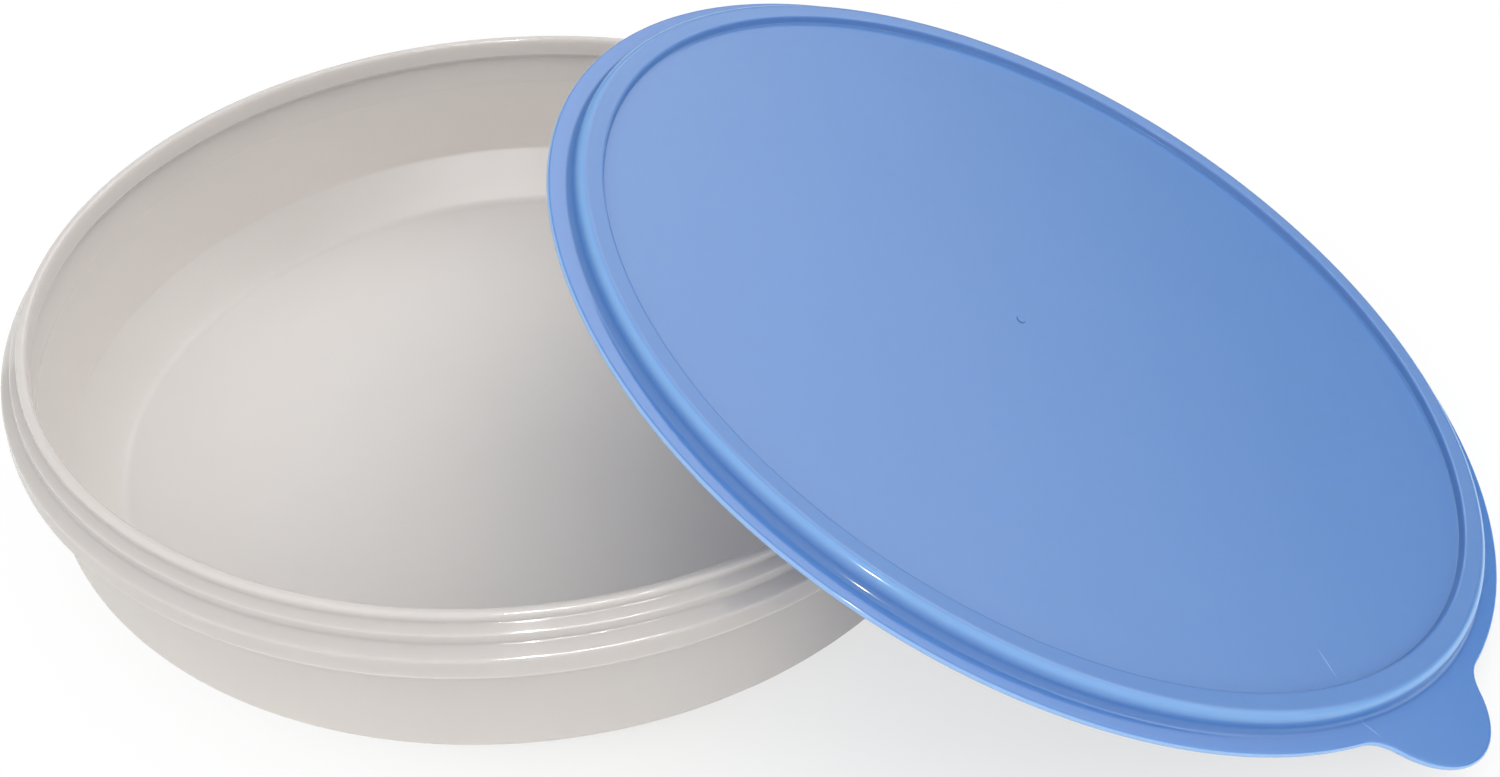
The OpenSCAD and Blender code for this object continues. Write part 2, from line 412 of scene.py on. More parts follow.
@dataclass(frozen=True)
class MilkyPolypropylene(MouldedPlastic):
    """Natural polypropylene, injection moulded.

    Unpigmented, so light enters the wall, spreads and comes out milky. Its colour holds
    painted light: the floor is painted lighter and the collar darker than one plastic
    would be, and the wall's inner face lighter, standing in for the light that passes
    through the wall. Collar and rim are polished and carry small sharp highlights on
    every rounding, while wall, bevel and floor are etched and look matt. Lengths are in
    millimetres.

    Attributes:
        floor: Colour of the floor, painted lighter as painted light.
        collar: Colour of the collar, painted darker as painted shade.
        painted_light_top: Height at which the painted change to the collar's colour is
            complete.
        painted_light_power: Exponent of that painted change over the height.
        inner_painted_light_share: Share of the collar's colour that the wall's inner face
            keeps, so that it comes out lighter as painted light.
        inner_light_from: Radius from which a face turned inwards begins to count as the
            wall and to get that painted light.
        inner_light_to: Radius from which it counts in full.
        etched_to: Height up to which the faces are etched.
        polished_from: Height from which they are polished.
        cloud_share: Share of the clouds in the change of colour.
    """

    # Painted light and shade: the floor's colour is painted lighter and the collar's darker
    floor: str = "#F0EBE6"
    collar: str = "#C4C0BD"
    painted_light_top: float = 42.0
    painted_light_power: float = 0.3
    inner_painted_light_share: float = 0.7
    inner_light_from: float = 75.0
    inner_light_to: float = 95.0
    etched_to: float = 31.0
    polished_from: float = 35.0
    cloud_share: float = 0.12
    cloud_size: float = 34.0
    cloud_roughness: float = 0.55
    wave_size: float = 22.0
    wave_strength: float = 0.08
    scatter: float = 3.0
    scatter_share: float = 1.0
    scatter_tint: tuple[float, float, float] = (1.0, 0.97, 0.93)
    ior: float = 1.49

    def clouds_and_painted_light(self, tree: bpy.types.NodeTree, coords: bpy.types.Node,
                     height: bpy.types.NodeSocket) -> bpy.types.NodeSocket:
        """Works out how much of the collar's colour each place has: painted light by the
        height and on the wall's inner face, with the plastic's own faint clouds.

        Args:
            tree: The material's tree.
            coords: The texture coordinates.
            height: Height above the base.

        Returns:
            0 for the floor's colour to 1 for the collar's.
        """
        # Painted light: the share of the collar's darker colour grows with the height
        up = add_node(tree, "ShaderNodeMapRange", {}, {
            "Value": height, "From Max": self.painted_light_top * MM,
        })
        painted_by_height = add_node(tree, "ShaderNodeMath", {"operation": "POWER"}, {
            0: up.outputs[0], 1: self.painted_light_power,
        })
        # Painted light: faces turned inwards keep less of the collar's colour and come out
        # lighter
        outwards = add_node(tree, "ShaderNodeVectorMath", {"operation": "DOT_PRODUCT"}, {
            0: coords.outputs["Object"], 1: coords.outputs["Normal"],
        })
        side = add_node(tree, "ShaderNodeMapRange", {}, {
            "Value": outwards.outputs["Value"], "From Min": -self.inner_light_to * MM,
            "From Max": -self.inner_light_from * MM, "To Min": self.inner_painted_light_share,
        })
        shade = add_node(tree, "ShaderNodeMath", {"operation": "MULTIPLY"}, {
            0: painted_by_height.outputs[0], 1: side.outputs[0],
        })
        clouds = add_node(tree, "ShaderNodeTexNoise", {}, {
            "Vector": coords.outputs["Object"], "Scale": 1 / (self.cloud_size * MM),
            "Detail": self.cloud_detail, "Roughness": self.cloud_roughness,
        })
        share = add_node(tree, "ShaderNodeMix", {"data_type": "FLOAT"}, {
            0: self.cloud_share, 2: shade.outputs[0], 3: clouds.outputs[0],
        })
        return share.outputs[0]

    def build(self) -> bpy.types.Material:
        """Builds the material.

        Returns:
            The milky plastic.
        """
        made = bpy.data.materials.new("natural_polypropylene_moulded")
        made.use_nodes = True
        tree = made.node_tree
        shader = tree.nodes["Principled BSDF"]
        coords = add_node(tree, "ShaderNodeTexCoord")
        split = add_node(tree, "ShaderNodeSeparateXYZ", {}, {0: coords.outputs["Object"]})
        height = split.outputs[2]
        # Painted light by height and on the inner wall, mixed with the plastic's own clouds
        milk_and_painted_light = add_node(tree, "ShaderNodeMix", {"data_type": "RGBA"}, {
            0: self.clouds_and_painted_light(tree, coords, height),
            6: linear(self.floor), 7: linear(self.collar),
        })
        tree.links.new(milk_and_painted_light.outputs[2], shader.inputs["Base Color"])
        gloss = add_node(tree, "ShaderNodeMapRange", {}, {
            "Value": height, "From Min": self.etched_to * MM,
            "From Max": self.polished_from * MM, "To Min": Polish.ETCHED.value,
            "To Max": Polish.POLISHED.value,
        })
        tree.links.new(gloss.outputs[0], shader.inputs["Roughness"])
        self.dress(tree, shader, coords.outputs["Object"])
        return made


@dataclass(frozen=True)
class Scratch:
    """A short straight mark of use, in millimetres in the lid's own place.

    It scatters light, so it is a little lighter than the plastic round it.

    Attributes:
        middle: Place of its middle on the lid.
        length: Length from end to end.
        degrees: Direction, from the lid's X axis.
        width: Width in its middle.
        core: Share of the mark that is worn in full, from its middle outwards.
    """

    middle: tuple[float, float]
    length: float
    degrees: float
    width: float = 0.5
    core: float = 0.2

    def draw(self, tree: bpy.types.NodeTree,
             place: bpy.types.NodeSocket) -> bpy.types.NodeSocket:
        """Draws the mark as a thin ellipse that fades to its outline.

        Args:
            tree: The material's tree.
            place: The place on the lid, seen along its axis.

        Returns:
            1 on the mark and 0 beside it.
        """
        along = add_node(tree, "ShaderNodeMapping", {"vector_type": "TEXTURE"}, {
            "Vector": place,
            "Location": (self.middle[0] * MM, self.middle[1] * MM, 0.0),
            "Rotation": (0.0, 0.0, math.radians(self.degrees)),
            "Scale": (self.length / 2 * MM, self.width / 2 * MM, 1.0),
        })
        away = add_node(tree, "ShaderNodeVectorMath", {"operation": "LENGTH"},
                        {0: along.outputs[0]})
        line = add_node(tree, "ShaderNodeMapRange", {"interpolation_type": "SMOOTHSTEP"}, {
            "Value": away.outputs["Value"], "From Min": self.core,
            "To Min": 1.0, "To Max": 0.0,
        })
        return line.outputs[0]


@dataclass(frozen=True)
class BluePolyethylene(MouldedPlastic):
    """Soft blue polyethylene, injection moulded.

    Panel and ring top come from a finely blasted mould face and look matt. The ring's
    outer wall, the flange and the tab come from polished steel, have a deeper blue and
    carry sharp highlights. The ring's shoulder and the flange's thin edge are painted
    lighter: painted light for their highlights and for the light that passes through
    them. Two faint marks of use lie by the tab. Lengths are in millimetres.

    Attributes:
        panel: Colour of the panel and of the ring's top.
        cloud: Colour of the faint clouds in them.
        flange: Colour of the flange and of the ring's outer wall.
        edge: Colour of the flange's thin edge, lighter as painted light for its highlight
            and for the light that passes through it.
        edge_light_soft: Height in which the edge's painted light comes in at the
            underside.
        edge_light_crisp: Height in which it ends below the flange's top.
        ring: Colour of the ring's shoulder, lighter as painted light for its highlight and
            for the light that passes through it.
        shoulder_light_from: Share of the ring's height up to which its wall is like the
            flange, where the painted light begins.
        shoulder_light_full: Share of the ring's height from which its shoulder has the
            painted light in full.
        crest_blend: Distance from the ring's crest in which matt turns to polished.
        worn: Colour of a scratch.
        worn_share: Share of that colour in a scratch's middle.
        scratches: The marks of use.
    """

    panel: str = "#5884BF"
    cloud: str = "#5581BC"
    flange: str = "#5583C1"
    # Painted light: the flange's edge is painted lighter for its highlight and the light through
    # it
    edge: str = "#96B9E2"
    edge_light_soft: float = 0.2
    edge_light_crisp: float = 0.05
    # Painted light: the ring's shoulder is painted lighter for its highlight and the light
    # through it
    ring: str = "#7AA7D9"
    shoulder_light_from: float = 0.5
    shoulder_light_full: float = 0.85
    crest_blend: float = 0.5
    worn: str = "#9DBDE4"
    worn_share: float = 0.45
    scratches: tuple[Scratch, ...] = (
        Scratch(middle=(51.9, -78.4), length=8.6, degrees=-63.8),
        Scratch(middle=(59.9, -89.1), length=6.0, degrees=-29.5),
    )
    cloud_size: float = 40.0
    cloud_roughness: float = 0.5
    wave_size: float = 30.0
    wave_strength: float = 0.05
    scatter: float = 0.9
    scatter_share: float = 0.8
    scatter_tint: tuple[float, float, float] = (0.5, 0.8, 1.0)
    ior: float = 1.51

    def polished_colour_and_painted_light(self, tree: bpy.types.NodeTree, height: bpy.types.NodeSocket,
                        lid: "Lid") -> bpy.types.NodeSocket:
        """Draws the polished faces' colour over the height from flange to ring, with painted
        light on the flange's edge and on the ring's shoulder.

        Args:
            tree: The material's tree.
            height: Height above the flange's underside.
            lid: The lid, which gives the heights of flange and ring.

        Returns:
            The colour.
        """
        rise = add_node(tree, "ShaderNodeMath", {"operation": "DIVIDE"}, {
            0: height, 1: lid.ring_h * MM,
        })
        made = add_node(tree, "ShaderNodeValToRGB", {}, {0: rise.outputs[0]})
        first, spare = made.color_ramp.elements
        made.color_ramp.elements.remove(spare)
        first.color = linear(self.flange)
        # Painted light: lighter stops on the flange's edge and on the ring's shoulder
        for share, colour in (
            (self.edge_light_soft / lid.ring_h, self.edge),
            ((lid.flange_t - self.edge_light_soft) / lid.ring_h, self.edge),
            ((lid.flange_t - self.edge_light_crisp) / lid.ring_h, self.flange),
            (self.shoulder_light_from, self.flange),
            (self.shoulder_light_full, self.ring),
        ):
            made.color_ramp.elements.new(share).color = linear(colour)
        return made.outputs[0]

    def scratched(self, tree: bpy.types.NodeTree, colour: bpy.types.NodeSocket,
                  flat: bpy.types.NodeSocket) -> bpy.types.NodeSocket:
        """Lays the marks of use over the colour.

        Args:
            tree: The material's tree.
            colour: The colour without marks.
            flat: The place on the lid, seen along its axis.

        Returns:
            The colour with marks.
        """
        for scratch in self.scratches:
            share = add_node(tree, "ShaderNodeMath", {"operation": "MULTIPLY"}, {
                0: scratch.draw(tree, flat), 1: self.worn_share,
            })
            marked = add_node(tree, "ShaderNodeMix", {"data_type": "RGBA"}, {
                0: share.outputs[0], 6: colour, 7: linear(self.worn),
            })
            colour = marked.outputs[2]
        return colour

    def build(self, lid: "Lid") -> bpy.types.Material:
        """Builds the material.

        Args:
            lid: The lid, which gives the place of its panel and ring.

        Returns:
            The blue plastic.
        """
        made = bpy.data.materials.new("blue_polyethylene_moulded")
        made.use_nodes = True
        tree = made.node_tree
        shader = tree.nodes["Principled BSDF"]
        coords = add_node(tree, "ShaderNodeTexCoord")
        centred = add_node(tree, "ShaderNodeMapping", {"vector_type": "TEXTURE"}, {
            "Vector": coords.outputs["Object"],
            "Location": lid.place().translation,
            "Rotation": lid.place().to_euler(),
        })
        split = add_node(tree, "ShaderNodeSeparateXYZ", {}, {0: centred.outputs[0]})
        flat = add_node(tree, "ShaderNodeCombineXYZ", {},
                        {0: split.outputs[0], 1: split.outputs[1]})
        radius = add_node(tree, "ShaderNodeVectorMath", {"operation": "LENGTH"},
                          {0: flat.outputs[0]})
        crest_r = lid.ring_foot_r - lid.ring_round
        outside = add_node(tree, "ShaderNodeMapRange", {"interpolation_type": "SMOOTHSTEP"}, {
            "Value": radius.outputs["Value"],
            "From Min": (crest_r - self.crest_blend) * MM,
            "From Max": (crest_r + self.crest_blend) * MM,
        })
        clouds = add_node(tree, "ShaderNodeTexNoise", {}, {
            "Vector": centred.outputs[0], "Scale": 1 / (self.cloud_size * MM),
            "Detail": self.cloud_detail, "Roughness": self.cloud_roughness,
        })
        matt = add_node(tree, "ShaderNodeMix", {"data_type": "RGBA"}, {
            0: clouds.outputs[0], 6: linear(self.panel), 7: linear(self.cloud),
        })
        blue = add_node(tree, "ShaderNodeMix", {"data_type": "RGBA"}, {
            0: outside.outputs[0], 6: matt.outputs[2],
            7: self.polished_colour_and_painted_light(tree, split.outputs[2], lid),
        })
        colour = self.scratched(tree, blue.outputs[2], flat.outputs[0])
        tree.links.new(colour, shader.inputs["Base Color"])
        gloss = add_node(tree, "ShaderNodeMapRange", {}, {
            "Value": outside.outputs[0], "To Min": Polish.BLASTED.value,
            "To Max": Polish.POLISHED.value,
        })
        tree.links.new(gloss.outputs[0], shader.inputs["Roughness"])
        self.dress(tree, shader, centred.outputs[0])
        return made


@dataclass(frozen=True)
class PaperSweep:
    """Matt white paper, the floor of a photographer's table.

    It keeps the object's shadow and fades to plain white for the camera further out.
    Lengths are in millimetres.

    Attributes:
        paper: Colour of the paper.
        roughness: Roughness of its fibres.
        sheen: Strength of its reflection.
        middle: Middle of the ellipse round the object.
        reach: Half width and half depth of the ellipse.
        fade_from: Share of the reach at which the paper begins to fade.
        fade_to: Share of the reach at which it is plain white.
        near_share: Share of plain white inside the ellipse.
    """

    paper: str = "#EDEDEB"
    roughness: float = 0.9
    sheen: float = 0.1
    middle: tuple[float, float] = (90.0, 0.0)
    reach: tuple[float, float] = (140.0, 95.0)
    fade_from: float = 0.85
    fade_to: float = 1.6
    near_share: float = 0.65

    def build(self) -> bpy.types.Material:
        """Builds the material.

        Returns:
            White paper that keeps shadows near the object and fades to white.
        """
        made = bpy.data.materials.new("matt_white_paper")
        made.use_nodes = True
        tree = made.node_tree
        shader = tree.nodes["Principled BSDF"]
        shader.inputs["Base Color"].default_value = linear(self.paper)
        shader.inputs["Roughness"].default_value = self.roughness
        shader.inputs["Specular IOR Level"].default_value = self.sheen
        glow = add_node(tree, "ShaderNodeEmission", {}, {"Strength": 1.0})
        rays = add_node(tree, "ShaderNodeLightPath")
        coords = add_node(tree, "ShaderNodeTexCoord")
        around = add_node(tree, "ShaderNodeMapping", {"vector_type": "TEXTURE"}, {
            "Vector": coords.outputs["Object"],
            "Location": (self.middle[0] * MM, self.middle[1] * MM, 0.0),
            "Scale": (self.reach[0] * MM, self.reach[1] * MM, 1.0),
        })
        far = add_node(tree, "ShaderNodeVectorMath", {"operation": "LENGTH"},
                       {0: around.outputs[0]})
        fade = add_node(tree, "ShaderNodeMapRange", {"interpolation_type": "SMOOTHSTEP"}, {
            "Value": far.outputs["Value"], "From Min": self.fade_from,
            "From Max": self.fade_to, "To Min": self.near_share,
        })
        seen = add_node(tree, "ShaderNodeMath", {"operation": "MULTIPLY"}, {
            0: fade.outputs[0], 1: rays.outputs["Is Camera Ray"],
        })
        blend = add_node(tree, "ShaderNodeMixShader", {}, {
            0: seen.outputs[0], 1: shader.outputs[0], 2: glow.outputs[0],
        })
        out = tree.nodes["Material Output"]
        tree.links.new(blend.outputs[0], out.inputs["Surface"])
        return made


# The two mouldings


@dataclass
class Container:
    """The round tub: floor, wall, collar, upright rim and sealing band in one moulding.

    Sizes are in millimetres. The overall radius and height come from the frame. On the
    collar, out is measured from the rim's outer wall, in from the collar's edge and drop
    from the top of the lip.
    """

    reach: float
    height: float
    # Upright rim and the straight sealing band inside the mouth
    mouth_r: float = 100.0
    rim_t: float = 2.0
    lip_round: float = 0.8
    band_h: float = 4.6
    band_slope: float = 1.8
    band_round: float = 0.3
    # Body, floor and the bevel round the foot
    body_r: float = 103.8
    body_draft: float = 1.8
    wall_t: float = 2.0
    floor_t: float = 1.8
    bevel_rise: float = 12.8
    bevel_run: float = 10.2
    bevel_round: float = 3.5
    foot_round: float = 5.0
    # Collar from the rim down: valley, shoulder, step, brow and edge
    valley_drop: float = 1.7
    valley_round: float = 0.6
    shoulder_out: float = 1.8
    shoulder_drop: float = 3.1
    shoulder_round: float = 0.5
    step_out: float = 1.95
    step_drop: float = 4.9
    step_foot_round: float = 0.6
    brow_in: float = 0.4
    brow_drop: float = 6.7
    brow_round: float = 0.9
    edge_drop: float = 10.8
    collar_t: float = 1.4
    skirt_round: float = 0.45
    under_round: float = 0.4
    # Segments of a full turn, length of an arc's segments and place of guard points
    steps: int = 640
    arc_step: float = 0.9
    guard: float = 0.25

    @property
    def rim_r(self) -> float:
        """Outer radius of the upright rim."""
        return self.mouth_r + self.rim_t

    @property
    def edge_r(self) -> float:
        """Radius of the skirt's edge before its rounding takes a little off."""
        half = math.atan2(self.edge_drop - self.brow_drop, self.brow_in) / 2
        return self.reach + self.skirt_round * (1 / math.tan(half) - 1)

    def rows(self) -> list[Row]:
        """Half section from the base round the collar to the floor.

        Returns:
            Radius, height and rounding of each corner.
        """
        top = self.height
        inside = self.body_r - self.wall_t
        roof_z = top - self.brow_drop - self.collar_t
        fall = self.edge_drop - self.brow_drop
        roof_r = self.edge_r - self.brow_in - self.collar_t + self.brow_in * self.collar_t / fall
        edge_z = top - self.edge_drop
        bevel_r = self.body_r - self.body_draft * (roof_z - self.bevel_rise) / roof_z
        turn = math.atan2(self.bevel_run, self.bevel_rise)
        bevel_in_z = self.bevel_rise + self.wall_t * math.tan(turn / 2)
        floor_r = bevel_r - self.wall_t - (bevel_in_z - self.floor_t) * math.tan(turn)
        return [
            (0.0, 0.0, 0.0),
            (bevel_r - self.bevel_run, 0.0, self.foot_round),
            (bevel_r, self.bevel_rise, self.bevel_round),
            (self.body_r, roof_z, self.under_round),
            (roof_r, roof_z, self.under_round),
            (self.edge_r - self.collar_t, edge_z, self.skirt_round),
            (self.edge_r, edge_z, self.skirt_round),
            (self.edge_r - self.brow_in, top - self.brow_drop, self.brow_round),
            (self.rim_r + self.step_out, top - self.step_drop, self.step_foot_round),
            (self.rim_r + self.shoulder_out, top - self.shoulder_drop, self.shoulder_round),
            (self.rim_r, top - self.valley_drop, self.valley_round),
            (self.rim_r, top, self.lip_round),
            (self.mouth_r, top, self.lip_round),
            (self.mouth_r, top - self.band_h, self.band_round),
            (inside, top - self.band_h - self.band_slope, self.band_round),
            (bevel_r - self.wall_t, bevel_in_z, self.bevel_round - self.wall_t),
            (floor_r, self.floor_t, self.foot_round - self.floor_t),
            (0.0, self.floor_t, 0.0),
        ]

    def build(self, lathe: Lathe) -> bpy.types.Object:
        """Builds the tub.

        Args:
            lathe: Turns the half section.

        Returns:
            The piece.
        """
        points = rounded(self.rows(), self.arc_step, self.guard)
        mesh = lathe.turn(points, self.steps, MilkyPolypropylene().build())
        mesh.transform(Matrix.Scale(MM, 4))
        return add_piece("container_moulding", mesh, "container", "container")


@dataclass
class Lid:
    """The press-on lid: panel, sealing ring, flange and thumb tab in one moulding.

    Sizes are in millimetres, in the lid's own place: its axis is Z and the underside
    of its flange is at height zero.
    """

    container: Container
    # Flange and panel
    flange_w: float = 4.4
    flange_t: float = 1.2
    flange_round: float = 0.55
    lid_t: float = 1.0
    panel_z: float = 3.0
    # Raised ring, with its fall and its step down to the panel
    ring_h: float = 4.9
    ring_fall: float = 0.3
    ring_spread: float = 0.8
    ring_wall_t: float = 1.05
    ring_round: float = 1.8
    crease_round: float = 1.2
    ridge_round: float = 0.6
    step_run: float = 0.4
    step_round: float = 0.25
    # Channel over the rim and the sealing wall that presses into the mouth
    seat_z: float = 3.6
    ring_clear: float = 0.3
    plug_clear: float = 0.2
    plug_t: float = 0.9
    plug_depth: float = 4.6
    plug_round: float = 0.3
    # Thumb tab and the direction of its middle line in degrees
    tab_reach: float = 11.2
    tab_round_r: float = 19.5
    tab_shoulder_r: float = 10.0
    tab_turn: float = -46.2
    # Moulding mark near the panel's centre
    gate_r: float = 1.0
    gate_h: float = 0.3
    gate_round: float = 0.24
    gate_up: float = 6.8
    gate_aside: float = 9.7
    # Lean at rest: place of the touch on the panel and the gap left there
    lean_contact: float = 12.8
    rest_gap: float = 0.3
    # Segments of a full turn, length of an arc's segments and place of guard points
    steps: int = 640
    arc_step: float = 0.6
    guard: float = 0.2
    gate_steps: int = 48
    gate_arc_step: float = 0.1
    gate_guard: float = 0.05
    # Longest straight stretch without extra rows on the flange, and how far inside the
    # ring's foot that begins
    row_limit: float = 1.0
    row_margin: float = 1.0

    @property
    def panel_r(self) -> float:
        """Radius of the flat panel, up to the foot of the ring."""
        return self.container.mouth_r - self.plug_clear - self.plug_t

    @property
    def channel_r(self) -> float:
        """Outer radius of the channel that takes the rim."""
        shoulder_r = self.container.rim_r + self.container.shoulder_out
        return shoulder_r + self.ring_clear - self.ring_spread

    @property
    def ring_foot_r(self) -> float:
        """Radius at which the ring's outer wall meets the flange."""
        return self.channel_r + self.ring_spread + self.ring_wall_t

    @property
    def flange_r(self) -> float:
        """Outer radius of the flange."""
        return self.ring_foot_r + self.flange_w

    def rows(self) -> list[Row]:
        """Half section from the panel's underside round the flange to its top.

        Returns:
            Radius, height and rounding of each corner.
        """
        under = self.panel_z - self.lid_t
        plug_r = self.container.mouth_r - self.plug_clear
        tip = self.seat_z - self.plug_depth
        soft = self.plug_round
        return [
            (0.0, under, 0.0),
            (self.panel_r, under, soft),
            (self.panel_r, tip, soft),
            (plug_r, tip, soft),
            (plug_r, self.seat_z, soft),
            (self.channel_r, self.seat_z, soft),
            (self.channel_r + self.ring_spread, 0.0, soft),
            (self.flange_r, 0.0, self.flange_round),
            (self.flange_r, self.flange_t, self.flange_round),
            (self.ring_foot_r, self.flange_t, self.crease_round),
            (self.channel_r + self.ring_wall_t, self.ring_h, self.ring_round),
            (self.panel_r + self.step_run, self.ring_h - self.ring_fall, self.ridge_round),
            (self.panel_r, self.panel_z, self.step_round),
            (0.0, self.panel_z, 0.0),
        ]

    def place(self) -> Matrix:
        """Place of the leaning lid: its edge on the table, its panel on the rim.

        Returns:
            The matrix from the lid's own place in metres to the frame.
        """
        # In the lid's plane, lever and down lead from the centre of the rounding that
        # stands on the table to the centre of the lip's rounding, and rise is the
        # difference of their heights.
        tub = self.container
        reach = self.flange_r - self.flange_round
        lever = reach + self.lean_contact
        under = self.panel_z - self.lid_t
        down = under - self.flange_round - tub.lip_round - self.rest_gap
        rise = tub.height - tub.lip_round - self.flange_round
        lean = math.asin(rise / math.hypot(lever, down)) - math.atan2(down, lever)
        z = reach * math.sin(lean) + self.flange_round * (1 - math.cos(lean))
        touch = tub.rim_r - tub.lip_round + (tub.lip_round + self.rest_gap) * math.sin(lean)
        x = touch + self.lean_contact * math.cos(lean) - under * math.sin(lean)
        return Matrix.Translation((x * MM, 0.0, z * MM)) @ Matrix.Rotation(lean, 4, "Y")

    def tab_edge(self, azimuth: float) -> tuple[Vector, Vector]:
        """Outline of flange and tab in one direction from the tab's middle line.

        The tab's end and its two hollow shoulders are circles that touch.

        Args:
            azimuth: Direction from the tab's middle line, in radians.

        Returns:
            The point on the outline and the outline's outward normal.
        """
        ray = Vector((math.cos(azimuth), math.sin(azimuth)))
        end = Vector((self.flange_r + self.tab_reach - self.tab_round_r, 0.0))
        far = self.flange_r + self.tab_shoulder_r
        near = self.tab_round_r + self.tab_shoulder_r
        x = (far ** 2 + end.x ** 2 - near ** 2) / (2 * end.x)
        shoulder = Vector((x, math.copysign(math.sqrt(far ** 2 - x ** 2), azimuth)))
        touch = end + (shoulder - end) * (self.tab_round_r / near)
        size = abs(azimuth)
        if size >= abs(math.atan2(shoulder.y, shoulder.x)):
            return ray * self.flange_r, ray
        if size >= abs(math.atan2(touch.y, touch.x)):
            along = shoulder.dot(ray)
            inside = self.tab_shoulder_r ** 2 - shoulder.length_squared + along ** 2
            point = ray * (along - math.sqrt(inside))
            return point, (shoulder - point).normalized()
        along = end.dot(ray)
        point = ray * (along + math.sqrt(self.tab_round_r ** 2 - (end.x * ray.y) ** 2))
        return point, (point - end).normalized()

    def pull_tab(self, mesh: bpy.types.Mesh) -> None:
        """Draws the flange out into the thumb tab.

        Args:
            mesh: The turned lid in millimetres, in the lid's own place.
        """
        middle = math.radians(self.tab_turn)
        root = self.ring_foot_r + self.crease_round
        rim_zone = self.flange_r - 2 * self.flange_round
        for vertex in mesh.vertices:
            radius = math.hypot(vertex.co.x, vertex.co.y)
            if radius <= root or vertex.co.z > self.flange_t + self.crease_round:
                continue
            azimuth = math.remainder(math.atan2(vertex.co.y, vertex.co.x) - middle, math.tau)
            point, normal = self.tab_edge(azimuth)
            edge = point - normal * (self.flange_r - radius)
            straight = Vector((math.cos(azimuth), math.sin(azimuth))) * radius
            share = min(1.0, (radius - root) / (rim_zone - root))
            moved = straight.lerp(edge, share)
            turned = Matrix.Rotation(middle, 2) @ moved
            vertex.co.x = turned.x
            vertex.co.y = turned.y

    def half_section(self) -> list[Point]:
        """Half section with even rows across the flange, which the tab needs.

        Returns:
            The points of the half section.
        """
        points = rounded(self.rows(), self.arc_step, self.guard)
        inner = self.ring_foot_r - self.row_margin
        made = [points[0]]
        for start, end in zip(points, points[1:]):
            gap = math.dist(start, end)
            if start[0] > inner and gap > self.row_limit:
                count = math.ceil(gap / self.arc_step)
                for i in range(1, count):
                    made.append(tuple(Vector(start).lerp(Vector(end), i / count)))
            made.append(end)
        return made

    def build(self, lathe: Lathe) -> bpy.types.Object:
        """Builds the lid.

        Args:
            lathe: Turns the half sections.

        Returns:
            The piece.
        """
        finish = BluePolyethylene().build(self)
        shell = lathe.turn(self.half_section(), self.steps, finish)
        self.pull_tab(shell)
        lid = bpy.data.objects.new("lid_shell", shell)
        gate = bpy.data.objects.new("gate_mark", self.gate_mark(lathe, finish))
        for part in (lid, gate):
            bpy.context.scene.collection.objects.link(part)
        with bpy.context.temp_override(active_object=lid, selected_editable_objects=[lid, gate]):
            bpy.ops.object.join()
        mesh = lid.data
        bpy.data.objects.remove(lid)
        mesh.transform(self.place() @ Matrix.Scale(MM, 4))
        return add_piece("lid_moulding", mesh, "lid", "lid")

    def gate_mark(self, lathe: Lathe, finish: bpy.types.Material) -> bpy.types.Mesh:
        """The small raised mark that the moulding gate leaves on the panel.

        Args:
            lathe: Turns the half section.
            finish: The lid's material.

        Returns:
            A closed low dome, sunk half into the panel, in millimetres.
        """
        foot = self.panel_z - self.lid_t / 2
        top = self.panel_z + self.gate_h
        rows = [(0.0, foot, 0.0), (self.gate_r, foot, 0.0),
                (self.gate_r, top, self.gate_round), (0.0, top, 0.0)]
        points = rounded(rows, self.gate_arc_step, self.gate_guard)
        mesh = lathe.turn(points, self.gate_steps, finish)
        mesh.transform(Matrix.Translation((-self.gate_up, -self.gate_aside, 0.0)))
        return mesh


# Stage


@dataclass(frozen=True)
class PhotoCamera:
    """The photographer's camera.

    Attributes:
        place: Place in millimetres.
        heading: Turn about the upright axis in degrees.
        pitch: Elevation of the view in degrees.
        roll: Turn about the view in degrees.
        focal_px: Focal length in pixels of the photograph.
        near: Distance in millimetres from which things show.
    """

    place: tuple[float, float, float] = (73.8, -277.83, 248.55)
    heading: float = 4.774
    pitch: float = -40.03
    roll: float = 0.354
    focal_px: float = 1610.2
    near: float = 10.0

    def build(self) -> bpy.types.Object:
        """Builds the camera and makes it the scene's.

        Returns:
            The camera.
        """
        data = bpy.data.cameras.new("camera")
        data.sensor_width = SENSOR_W
        data.lens = SENSOR_W * self.focal_px / PHOTO_W
        data.clip_start = self.near * MM
        camera = bpy.data.objects.new("camera", data)
        bpy.context.scene.collection.objects.link(camera)
        turn = Matrix.Rotation(math.radians(self.heading), 4, "Z")
        tilt = Matrix.Rotation(math.radians(LEVEL + self.pitch), 4, "X")
        roll = Matrix.Rotation(math.radians(self.roll), 4, "Z")
        camera.matrix_world = Matrix.Translation(Vector(self.place) * MM) @ turn @ tilt @ roll
        bpy.context.scene.camera = camera
        return camera


